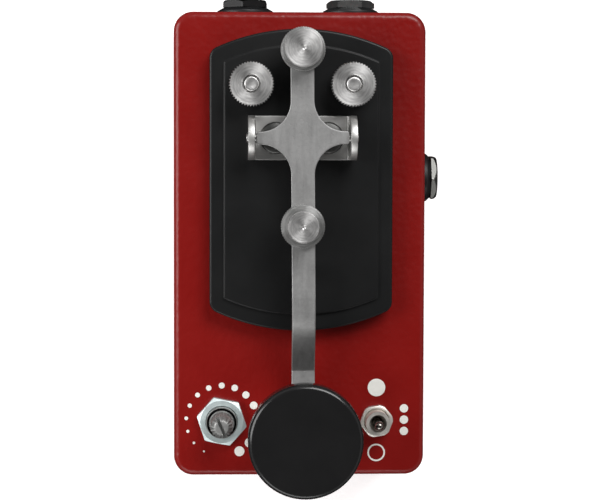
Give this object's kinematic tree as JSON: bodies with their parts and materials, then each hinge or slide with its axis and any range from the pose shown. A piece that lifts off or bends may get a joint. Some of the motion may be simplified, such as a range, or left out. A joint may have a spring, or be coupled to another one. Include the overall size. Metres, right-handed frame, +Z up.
{
  "type": "morse key with oscillator box",
  "caption": "Straight telegraph key with a sprung cross-shaped lever on a die-cast oscillator box with phone jacks, a power jack, a speed pot and a toggle switch.",
  "frame": {"origin": "centre of the bottom cover's resting face", "axes": "+Z up, +Y towards the phone jacks, +X right when the knob is nearest the user"},
  "size_m": [0.0701, 0.1263, 0.0633],
  "materials": {
    "red_paint": "gloss",
    "screw_steel": "satin",
    "jack_plastic": "satin",
    "contact_metal": "satin",
    "dark_metal": "satin",
    "nickel": "polished",
    "zinc_plate": "satin",
    "pot_metal": "satin",
    "board_green": "satin",
    "component_black": "matte",
    "wire_brown": "satin",
    "base_black": "satin",
    "lever_steel": "satin",
    "turned_steel": "satin",
    "spring_steel": "satin",
    "brass": "satin",
    "nylon": "satin",
    "knob_black": "satin"
  },
  "bodies": {
    "root": {"box_panel": "red_paint", "box_left_wall": "red_paint", "box_right_wall": "red_paint", "box_front_wall": "red_paint", "box_back_wall": "red_paint", "box_corners": "red_paint", "bottom_cover": "red_paint", "cover_screws": "screw_steel", "left_jack": "jack_plastic", "right_jack": "jack_plastic", "jack_contacts": "contact_metal", "jack_washers": "jack_plastic", "jack_nuts": "dark_metal", "power_jack": "dark_metal", "power_jack_pin": "contact_metal", "power_jack_washer": "jack_plastic", "power_jack_nut": "nickel", "speed_pot_body": "pot_metal", "speed_pot_nut": "zinc_plate", "toggle_body": "nickel", "toggle_nut": "nickel", "circuit_board": "board_green", "board_components": "component_black", "hookup_wires": "wire_brown", "key_base": "base_black", "base_screws": "screw_steel", "pivot_bracket": "turned_steel", "bracket_screws": "screw_steel", "stop_anvil": "brass", "return_spring": "spring_steel", "fixed_contact": "contact_metal", "terminal_studs": "screw_steel", "terminal_bushes": "nylon", "terminal_tags": "contact_metal", "terminal_lock_nuts": "screw_steel", "contact_straps": "brass"},
    "lever": {"key_lever": "lever_steel", "pivot_pins": "screw_steel", "lever_contact": "contact_metal", "spring_cap": "brass", "knob": "knob_black", "knob_screw": "screw_steel"},
    "gap_screw": {"gap_screw": "turned_steel"},
    "gap_lock_nut": {"gap_lock_nut": "turned_steel"},
    "tension_screw": {"tension_screw": "turned_steel"},
    "tension_lock_nut": {"tension_lock_nut": "turned_steel"},
    "left_terminal_nut": {"left_terminal_nut": "turned_steel"},
    "right_terminal_nut": {"right_terminal_nut": "turned_steel"},
    "speed_shaft": {"speed_pot_shaft": "pot_metal"},
    "toggle_bat": {"toggle_bat": "nickel"}
  },
  "joints": [
    {"name": "lever_press", "type": "hinge", "parent": "root", "child": "lever", "pos_m": [0.0002, 0.0276, 0.0522], "axis": [1, 0, 0], "range_deg": [0, 1.6], "stiffness_Nm_per_rad": 1.07, "springref_deg": -3.72, "deforming": ["return_spring"]},
    {"name": "gap_screw_turn", "type": "hinge", "parent": "lever", "child": "gap_screw", "pos_m": [0.0002, 0.0497, 0.0553], "axis": [0, 0, 1], "continuous": true},
    {"name": "gap_lock_nut_turn", "type": "hinge", "parent": "lever", "child": "gap_lock_nut", "pos_m": [0.0002, 0.0497, 0.0553], "axis": [0, 0, 1], "continuous": true},
    {"name": "tension_screw_turn", "type": "hinge", "parent": "lever", "child": "tension_screw", "pos_m": [0.0002, 0.0055, 0.0553], "axis": [0, 0, 1], "continuous": true},
    {"name": "tension_lock_nut_turn", "type": "hinge", "parent": "lever", "child": "tension_lock_nut", "pos_m": [0.0002, 0.0055, 0.0553], "axis": [0, 0, 1], "continuous": true},
    {"name": "left_terminal_turn", "type": "hinge", "parent": "root", "child": "left_terminal_nut", "pos_m": [-0.01265, 0.0411, 0.0493], "axis": [0, 0, 1], "continuous": true},
    {"name": "right_terminal_turn", "type": "hinge", "parent": "root", "child": "right_terminal_nut", "pos_m": [0.01305, 0.0411, 0.0493], "axis": [0, 0, 1], "continuous": true},
    {"name": "speed_turn", "type": "hinge", "parent": "root", "child": "speed_shaft", "pos_m": [-0.0201, -0.0457, 0.0443], "axis": [0, 0, 1], "range_deg": [-150, 150]},
    {"name": "toggle_tilt", "type": "hinge", "parent": "root", "child": "toggle_bat", "pos_m": [0.0201, -0.0457, 0.0417], "axis": [1, 0, 0], "range_deg": [-12, 12]}
  ]
}
